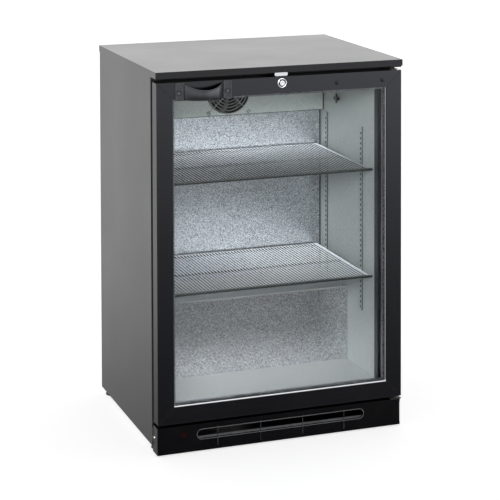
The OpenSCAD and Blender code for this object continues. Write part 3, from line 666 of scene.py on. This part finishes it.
def handle_screws():
    """The handle's two dark screws, with their shanks, and the moulded collars they sit in."""
    collar = [(4.1, -0.5), (4.1, 0.6), (4.6, 1.4), (5.4, 1.5), (5.9, 1.0), (6.1, -0.5)]
    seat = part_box("handle")[1].y - 2 * MM
    screws, collars = bmesh.new(), bmesh.new()
    for low, high in islands("handle_screws"):
        middle = (low + high) / 2
        place = (middle.x, seat, middle.z)
        screw_head(screws, place, (0, -1, 0), (high.x - low.x) / 2 * PER_METRE, 1.9)
        lathe(screws, [(2.0, 0), (2.0, 5)], place, (0, 1, 0), 20)
        lathe(collars, collar, place, (0, -1, 0), 48)
    add_piece("handle_screw_pair", screws, "black_steel", "door", "handle_screws", look="screw_dark")
    add_piece("handle_screw_seats", collars, "black_plastic", "door", smooth_angle=50, look="handle")


def lock_face():
    """Rounded chrome ring round the key cylinder, with a dark gap between the two."""
    barrel_low, barrel_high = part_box("lock_barrel")
    plug_low, plug_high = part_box("lock_cylinder")
    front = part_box("door_rail_top")[0].y
    centre = ((barrel_low.x + barrel_high.x) / 2, front, (plug_low.z + plug_high.z) / 2)
    ring = [(8.6, 0), (8.6, 1.4), (9.0, 2.1), (9.6, 2.5), (10.3, 2.4), (11.1, 1.8), (11.6, 0.9),
            (11.6, 0.05)]
    gap = [(5.9, -8), (5.9, 0.3), (6.4, 0.5), (8.5, 0.5), (8.7, 0.3), (8.7, -8)]
    bm = bmesh.new()
    lathe(bm, ring, centre, (0, -1, 0), 72)
    add_piece("lock_ring", bm, "lock_chrome", "door", "lock_barrel", smooth_angle=50)
    bm = bmesh.new()
    lathe(bm, gap, centre, (0, -1, 0), 64)
    add_piece("lock_gap", bm, "black_plastic", "door")


def pilaster_shadow_strips():
    """Painted shade: a dark strip in each pilaster's channel, for the shade seen through its slots."""
    bm = bmesh.new()
    for low, high in islands("shelf_pilasters"):
        left, right = (1.05, 0.05) if low.x > 0 else (0.05, 1.05)
        block(bm, (low.x + left * MM, low.y + 1.1 * MM, low.z + 1 * MM),
              (high.x - right * MM, high.y - 1.1 * MM, high.z - 1 * MM))
    add_piece("pilaster_shadow_strips", bm, "black_steel", "cabinet", look="gasket")


def panel_shadow_lines():
    """Painted shade: dark strips down both sides of the fan panel and the duct panel, and a dark strip
    along the fan panel's lower edge, where shade falls.
    """
    bm = bmesh.new()
    for node in ("fan_panel", "rear_duct_panel"):
        low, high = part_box(node)
        for side in (-1, 1):
            x = sorted((side * (high.x - 2.4 * MM), side * (high.x + 0.7 * MM)))
            block(bm, (x[0], low.y - 0.6 * MM, low.z + 1 * MM), (x[1], low.y + 1.5 * MM, high.z - 1 * MM))
    add_piece("panel_side_shadow_strips", bm, "gasket", "cabinet", edge=0.3)
    # Painted shade: a dark strip under the fan panel's lower edge.
    low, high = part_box("fan_panel")
    bm = bmesh.new()
    block(bm, (low.x + 3 * MM, low.y - 0.5 * MM, low.z + 0.2 * MM),
          (high.x - 3 * MM, low.y + 0.6 * MM, low.z + 2.6 * MM))
    add_piece("fan_panel_shadow_line", bm, "galvanised", "cabinet", edge=0.4, look="screw_dark")


def vent_highlight_lines():
    """Painted highlight: a thin pale tube round the plinth's air slot, and a line down each of its ribs,
    for the light their edges catch.
    """
    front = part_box("plinth")[0]
    y = front.y - 0.2 * MM
    half, radius, middle_z = VENT_HALF * MM, VENT_RADIUS * MM, VENT_Z * MM
    points = []
    for x, start in ((half - radius, -90), (radius - half, 90)):
        for k in range(17):
            a = math.radians(start + 180 * k / 16)
            points.append((x + radius * math.cos(a), y, middle_z + radius * math.sin(a)))
    points.append(points[0])
    bm = bmesh.new()
    tube(bm, points, 0.5 * MM, 8)
    for k in (-1.5, -0.5, 0.5, 1.5):
        x = k * VENT_RIB * MM
        tube(bm, [(x, y, front.z + z * MM) for z in (8, 20, 40, 53)], 0.35 * MM, 8)
    add_piece("vent_highlight_lines", bm, "black_plastic", "cabinet", look="highlight_grey")


def handle():
    """Scoop handle: a bowed cup open at the top between two screwed tabs with raised edges."""
    low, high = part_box("handle")
    tab = HANDLE_TAB * MM
    half = (high.x - low.x) / 2 - tab + 1 * MM
    middle = (low.x + high.x) / 2
    out = high.y - low.y
    wall, floor_z, columns = 3.3 * MM, low.z, 56
    bow = (half ** 2 + out ** 2) / (2 * out)

    def across(k):
        """Place of a column along the cup, from -1 to 1."""
        return -math.cos(math.pi * k / columns)

    def reach_at(s):
        """How far the bowed front stands out from the door."""
        return math.sqrt(max(bow ** 2 - (s * half) ** 2, 0)) - (bow - out)

    def rim_at(s):
        """Height of the scooped rim."""
        return high.z - 18 * MM + 14 * MM * s * s

    bm = bmesh.new()
    rings = []
    for k in range(columns + 1):
        s = across(k)
        x = middle + s * half
        reach = max(reach_at(s), 0.15 * MM)
        rim = rim_at(s)
        fillet = min(4 * MM, reach * 0.5)
        thick = min(wall, reach * 0.45)
        inner = max(reach - thick, 0.05 * MM)
        section = [(0.0, floor_z)]
        for j in range(6):
            a = math.pi / 2 * j / 5
            section.append((reach - fillet + fillet * math.sin(a), floor_z + fillet - fillet * math.cos(a)))
        for j in range(9):
            a = math.pi * j / 8
            section.append((reach - thick / 2 + thick / 2 * math.cos(a),
                            rim - thick / 2 + thick / 2 * math.sin(a)))
        inner_fillet = min(3 * MM, inner * 0.5)
        for j in range(6):
            a = math.pi / 2 * j / 5
            section.append((inner - inner_fillet + inner_fillet * math.cos(a),
                            floor_z + wall + inner_fillet - inner_fillet * math.sin(a)))
        section.append((0.0, floor_z + wall))
        rings.append([(x, high.y - y, z) for y, z in section])
    loft(bm, rings)
    add_piece("handle_cup", bm, "black_plastic", "door", "handle", smooth_angle=50, look="handle")
    for name, x0 in (("handle_tab_left", low.x), ("handle_tab_right", high.x - tab)):
        bm = bmesh.new()
        tab_plate(bm, x0, x0 + tab, low.z, high.z, high.y)
        add_piece(name, bm, "black_plastic", "door", edge=0.5, look="handle")
    # Painted highlights: pale thin tubes along the cup's rim and down the tabs' raised edges, for the light
    # those edges catch.
    bm = bmesh.new()
    rim_highlight = []
    for k in range(3, columns - 2):
        s = across(k)
        rim_highlight.append((middle + s * half, high.y - reach_at(s) + wall / 2, rim_at(s) - 0.2 * MM))
    tube(bm, rim_highlight, 0.8 * MM, 10)
    for x in (low.x + 1.4 * MM, low.x + tab - 1.4 * MM, high.x - tab + 1.4 * MM, high.x - 1.4 * MM):
        heights = (low.z + 2 * MM, (low.z + high.z) / 2, high.z - 2 * MM)
        tube(bm, [(x, high.y - 2.6 * MM, z) for z in heights], 0.7 * MM, 10)
    add_piece("handle_highlight_lines", bm, "black_plastic", "door", look="handle_highlight")


def tab_plate(bm, x0, x1, z0, z1, y):
    """Flat tab with a raised rib along each long side."""
    ribs = ((0, 2.2), (1.4, 3.0), (2.6, 3.0), (3.4, 2.0))
    depths = [(x0 + u * MM, d) for u, d in ribs] + [(x1 - u * MM, d) for u, d in ribs[::-1]]
    front = [(x, y - d * MM) for x, d in depths]
    outline = [(x0, y), *front, (x1, y)]
    loft(bm, [[(x, depth, z) for x, depth in outline] for z in (z0, z0 + 3 * MM, z1 - 3 * MM, z1)])


def gasket():
    """Magnetic seal with a folded bellows on each side of its face."""
    section = [(0, 0.05), (22, 0.05), (22, 2.0), (20.4, 2.9), (19.4, 4.4), (20.6, 6.0), (19.2, 7.4),
               (18.6, 9.9), (17.8, 10.5), (4.2, 10.5), (3.4, 9.9), (2.8, 7.4), (1.4, 6.0), (2.6, 4.4),
               (1.6, 2.9), (0, 2.0)]
    low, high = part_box("door_gasket")
    bm = bmesh.new()
    sweep_ring(bm, section, (low.x, low.z), (high.x, high.z), low.y - 0.05 * MM)
    add_piece("gasket_bellows", bm, "gasket", "door", "door_gasket", smooth_angle=60)


def glazing_tape():
    """Bright edge seal between the frame's lip and the outer pane, seen as a thin line round the glass."""
    inner_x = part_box("door_stile_left")[1].x
    top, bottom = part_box("door_rail_top")[0].z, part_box("door_rail_bottom")[1].z
    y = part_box("outer_glass")[0].y
    section = [(-1.5, -1.3), (1.0, -1.3), (1.5, -0.9), (1.6, -0.05), (-1.5, -0.05)]
    bm = bmesh.new()
    sweep_ring(bm, section, (inner_x, bottom), (-inner_x, top), y, open_top=True)
    add_piece("glazing_tape", bm, "spacer", "door", smooth_angle=40, look="tape")


def lock_cover():
    """Small rounded case of the lock's tail, on the back of the top rail just under its edge."""
    low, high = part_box("glazing_bead")
    bm = bmesh.new()
    rings = []
    for depth, shrink in ((0, 1.6), (0.6, 0.6), (1.8, 0), (5.2, 0), (6.4, 0.6), (7.0, 1.6)):
        r = 9 - shrink
        y = low.y + (1 + depth) * MM
        ring = []
        for k in range(25):
            a = math.pi * k / 24
            ring.append((r * math.cos(a) * MM, y, high.z - 11.5 * MM - r * math.sin(a) * MM))
        ring += [(x * MM, y, high.z - 3 * MM) for x in (-r, r)]
        rings.append(ring)
    loft(bm, rings)
    add_piece("lock_cover", bm, "black_plastic", "door", smooth_angle=50)


def air_channel():
    """Black sheets over the underside of the floor's foam and over the base, behind the plinth's slot."""
    low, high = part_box("base_tray")
    front_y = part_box("cabinet_foam")[0].y
    step_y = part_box("step_panel")[1].y
    bm = bmesh.new()
    for z in (CHANNEL_TOP * MM, high.z - 6 * MM):
        block(bm, (low.x + 3 * MM, front_y + 1 * MM, z - 0.6 * MM),
              (high.x - 3 * MM, step_y + 38 * MM, z))
    add_piece("air_channel_sheets", bm, "black_steel", "cabinet")


def feet():
    """Fluted moulded feet."""
    bm = bmesh.new()
    for low, high in islands("feet"):
        middle = (low + high) / 2
        tall = (high.z - low.z) * PER_METRE
        profile = [(14, 0), (17.4, 0), (18.4, 0.6), (19, 2), (19, 4), (18.2, 5), (16.6, 6),
                   (15.2, tall - 3), (15, tall - 0.6), (14.6, tall)]
        lathe(bm, profile, (middle.x, middle.y, low.z), (0, 0, 1), 96, 32, 0.5)
    add_piece("feet_moulded", bm, "foot_rubber", "cabinet", "feet", smooth_angle=50)


def fan_wheel(name, node, body, slot):
    """Axial wheel: round-nosed hub and swept blades that flatten and narrow towards their tips."""
    low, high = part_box(node)
    joint = next(j for j in frame["joints"] if j["child"] == body)
    centre = Vector(joint["pos_m"])
    y0, y1 = low.y, high.y
    deep = (y1 - y0) * PER_METRE
    hub = 19
    bm = bmesh.new()
    profile = [(2.3, 1.2), (12, 0), (16, 0.5), (18.2, 2), (hub, 4.5), (hub, deep - 0.6), (18.4, deep),
               (2.3, deep)]
    lathe(bm, profile, (centre.x, y0, centre.z), (0, 1, 0), 64)
    blades, rows, chord, thick = 7, 9, 9, 0.7 * MM
    root_pitch, root_span = 50, 43
    root = hub * MM - 1 * MM
    tip = min(high.z - centre.z, centre.z - low.z) - 0.5 * MM
    for b in range(blades):
        turn = 2 * math.pi * b / blades
        faces = []
        for side in (-1, 1):
            sheet = []
            for i in range(rows + 1):
                t = i / rows
                r = root + (tip - root) * t
                pitch = math.radians(root_pitch - 22 * t)
                span = math.radians(root_span - 6 * t)
                sweep = math.radians(16) * t * t
                line = []
                for j in range(chord + 1):
                    u = j / chord - 0.5
                    angle = turn + sweep + u * span
                    rise = -u * (y1 - y0) * 0.9 * math.tan(pitch) / math.tan(math.radians(root_pitch))
                    camber = (0.25 - u * u) * 5 * MM
                    y = (y0 + y1) / 2 + rise - camber + side * thick * (1 - (2 * u) ** 4 * 0.7)
                    y = min(max(y, y0 + 0.2 * MM), y1 - 0.2 * MM)
                    line.append((centre.x + r * math.sin(angle), y, centre.z + r * math.cos(angle)))
                sheet.append(line)
            faces.append(sheet)
        rings = [a + b[::-1] for a, b in zip(*faces)]
        loft(bm, rings)
    add_piece(name, bm, slot, body, node, smooth_angle=45)


def knob():
    """Fluted thermostat knob with a raised white pointer."""
    low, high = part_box("thermostat_knob")
    middle = (low + high) / 2
    deep = (high.y - low.y) * PER_METRE
    bm = bmesh.new()
    profile = [(3.2, 0), (15.4, 0), (16, 0.6), (16, 4), (14.4, 5.4), (13.4, deep - 1.6),
               (12.4, deep - 0.6), (2, deep - 0.5)]
    lathe(bm, profile, (middle.x, low.y, middle.z), (0, 1, 0), 144, 24, 0.7)
    add_piece("thermostat_knob_fluted", bm, "black_plastic", "knob", "thermostat_knob", smooth_angle=50)
    bm = bmesh.new()
    start = Vector((middle.x, high.y - 0.5 * MM, middle.z))
    tube(bm, [start + Vector((0, 0, z)) * MM for z in (4, 7, 9, 11.5)], 0.45 * MM)
    add_piece("thermostat_pointer", bm, "white_plastic", "knob")


def power_cord():
    """Cord coiled inside the machine space, tied, with its plug hanging."""
    low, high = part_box("power_cord")
    centre = Vector(((low.x + high.x) / 2, 0, high.z - 50 * MM))
    turns, steps, coil = 3.2, 150, 46
    path = []
    for k in range(steps + 1):
        t = k / steps
        angle = 2 * math.pi * turns * t - math.pi / 2
        radius = (coil - 2.5 * math.sin(5 * angle)) * MM
        path.append((centre.x + radius * math.cos(angle), low.y + (4 + 12 * t) * MM + 3 * MM,
                     centre.z + radius * math.sin(angle)))
    bm = bmesh.new()
    tube(bm, path, 3.9 * MM)
    plug_y = low.y + 11 * MM
    rings = []
    plug = ((-42, 5, 5), (-46, 8, 7), (-52, 12, 9), (-66, 12, 10), (-71, 10, 9), (-72.5, 8, 7))
    for dz, wide, deep in plug:
        ring = []
        for k in range(24):
            a = 2 * math.pi * k / 24
            square = 0.9 / max(abs(math.cos(a)), abs(math.sin(a))) ** 0.6
            ring.append((centre.x + wide * math.cos(a) * square * MM,
                         plug_y + deep * math.sin(a) * square * MM, centre.z + dz * MM))
        rings.append(ring)
    loft(bm, rings)
    add_piece("power_cord_coil", bm, "cord", "cabinet", "power_cord", smooth_angle=50)
    bm = bmesh.new()
    for x in (-6, 6):
        tube(bm, [(centre.x + x * MM, plug_y, centre.z + z * MM) for z in (-70, -78, -84, -89)], 2 * MM)
    add_piece("plug_pins", bm, "clip_steel", "cabinet")
    bm = bmesh.new()
    loop = ((1, 6), (1, -6), (10, -8), (20, -6), (23, 0), (20, 6), (10, 8), (1, 6))
    tube(bm, [(centre.x + coil * MM, low.y + y * MM, centre.z + z * MM) for y, z in loop], 1 * MM)
    add_piece("cord_tie", bm, "white_plastic", "cabinet")


# ---- Stage ----

def floor():
    """Plain pale floor that glows a little, so that only the object's own shadow darkens it."""
    mesh = bpy.data.meshes.new("floor")
    bm = bmesh.new()
    bmesh.ops.create_grid(bm, x_segments=8, y_segments=8, size=14)
    bm.to_mesh(mesh)
    bm.free()
    obj = new_object("floor", mesh)
    s = Shader("floor_white", rough=0.8)
    shade = s.mix(s.noise(3), (0.94, 0.94, 0.94), (0.96, 0.96, 0.96))
    glow = {"Emission_Color": (1, 1, 1, 1), "Emission_Strength": FLOOR_GLOW}
    mesh.materials.append(s.finish(Base_Color=shade, **glow))
    obj.visible_glossy = False


def world():
    """White to the camera.

    To mirrors it is bright behind, and bright ahead at eye level and steeply above; ahead it is dark below
    eye level and dim just above it, so that the black outside fades from grey to black down its front.
    """
    w = bpy.data.worlds.new("studio")
    bpy.context.scene.world = w
    w.use_nodes = True
    w.cycles.sampling_method = "NONE"
    tree = w.node_tree
    tree.nodes.clear()
    new = tree.nodes.new
    link = tree.links.new

    def ramp(value, low, high, out_low, out_high):
        node = new("ShaderNodeMapRange")
        node.interpolation_type = "SMOOTHSTEP"
        link(value, node.inputs["Value"])
        values = {"From Min": low, "From Max": high, "To Min": out_low, "To Max": out_high}
        for key, level in values.items():
            if isinstance(level, bpy.types.NodeSocket):
                link(level, node.inputs[key])
            else:
                node.inputs[key].default_value = level
        return node.outputs["Result"]

    direction = new("ShaderNodeSeparateXYZ")
    link(new("ShaderNodeTexCoord").outputs["Generated"], direction.inputs[0])
    x, y, z = direction.outputs
    # Each span is of the direction's x (to the right), y (to the back) or z (up), from -1 to 1.
    eye_level = ramp(x, 0.25, 0.42, FRONT_LEVEL, FRONT_LEVEL_RIGHT)
    raised = ramp(z, 0.25, 0.5, FRONT_RAISED, FRONT_OVERHEAD)
    lowered = ramp(z, -0.58, -0.42, FRONT_UNDERFOOT, FRONT_LOW)
    front = ramp(z, -0.285, -0.06, lowered, ramp(z, -0.02, 0.14, eye_level, raised))
    back = ramp(z, 0.0, 0.1, ramp(z, -0.34, -0.22, BACK_LOW, BACK_LEVEL), BACK_HIGH)
    mirrored = ramp(y, -0.25, 0.25, front, back)
    path = new("ShaderNodeLightPath")
    lighting = new("ShaderNodeMix")
    link(path.outputs["Is Glossy Ray"], lighting.inputs[0])
    lighting.inputs[2].default_value = MATT_LEVEL
    link(mirrored, lighting.inputs[3])
    final = new("ShaderNodeMix")
    link(path.outputs["Is Camera Ray"], final.inputs[0])
    link(lighting.outputs[0], final.inputs[2])
    final.inputs[3].default_value = CAMERA_LEVEL
    background = new("ShaderNodeBackground")
    link(final.outputs[0], background.inputs["Strength"])
    link(background.outputs[0], new("ShaderNodeOutputWorld").inputs[0])


def lights():
    """Two soft lights that shine through the glass and reach the inside alone."""
    lit = bpy.data.collections.new("lit_inside")
    for obj in [NODES[name] for name in INSIDE] + [bpy.data.objects[name] for name in INSIDE_PIECES]:
        lit.objects.link(obj)
    for name, place, size, power in LIGHTS:
        data = bpy.data.lights.new(name, "AREA")
        data.shape = "RECTANGLE"
        data.size, data.size_y = size
        data.energy = power
        obj = new_object(name, data)
        obj.location = place
        obj.rotation_euler = (Vector(LIGHT_TARGET) - Vector(place)).to_track_quat("-Z", "Y").to_euler()
        obj.visible_camera = False
        obj.light_linking.receiver_collection = lit


def camera():
    """A long lens whose shift holds only at the camera's own place."""
    data = bpy.data.cameras.new("camera")
    data.lens = CAMERA_LENS
    data.clip_end = 60
    obj = new_object("camera", data)
    obj.location = CAMERA_PLACE
    obj.rotation_euler = (math.pi / 2 - CAMERA_ELEVATION, 0, CAMERA_AZIMUTH)
    bpy.context.scene.camera = obj
    for axis, shift in zip("xy", CAMERA_SHIFT):
        driver = data.driver_add("shift_" + axis).driver
        driver.type = "SCRIPTED"
        height = driver.variables.new()
        height.name = "height"
        height.type = "TRANSFORMS"
        height.targets[0].id = obj
        height.targets[0].transform_type = "LOC_Z"
        driver.expression = f"{shift} * max(0, 1 - {PER_METRE} * abs(height - {CAMERA_PLACE.z}))"


dress_cad()
for build in (cabinet_screws, handle_screws, handle, gasket, glazing_tape, lock_cover, lock_face,
              vent_highlight_lines, air_channel, pilaster_shadow_strips, panel_shadow_lines, feet, knob, power_cord):
    build()
fan_wheel("evaporator_fan_blades", "evaporator_fan_wheel", "evaporator_fan", "fan_black")
fan_wheel("condenser_fan_blades", "condenser_fan_wheel", "condenser_fan", "clip_steel")
floor()
world()
lights()
camera()
bpy.context.scene.view_settings.view_transform = "Standard"
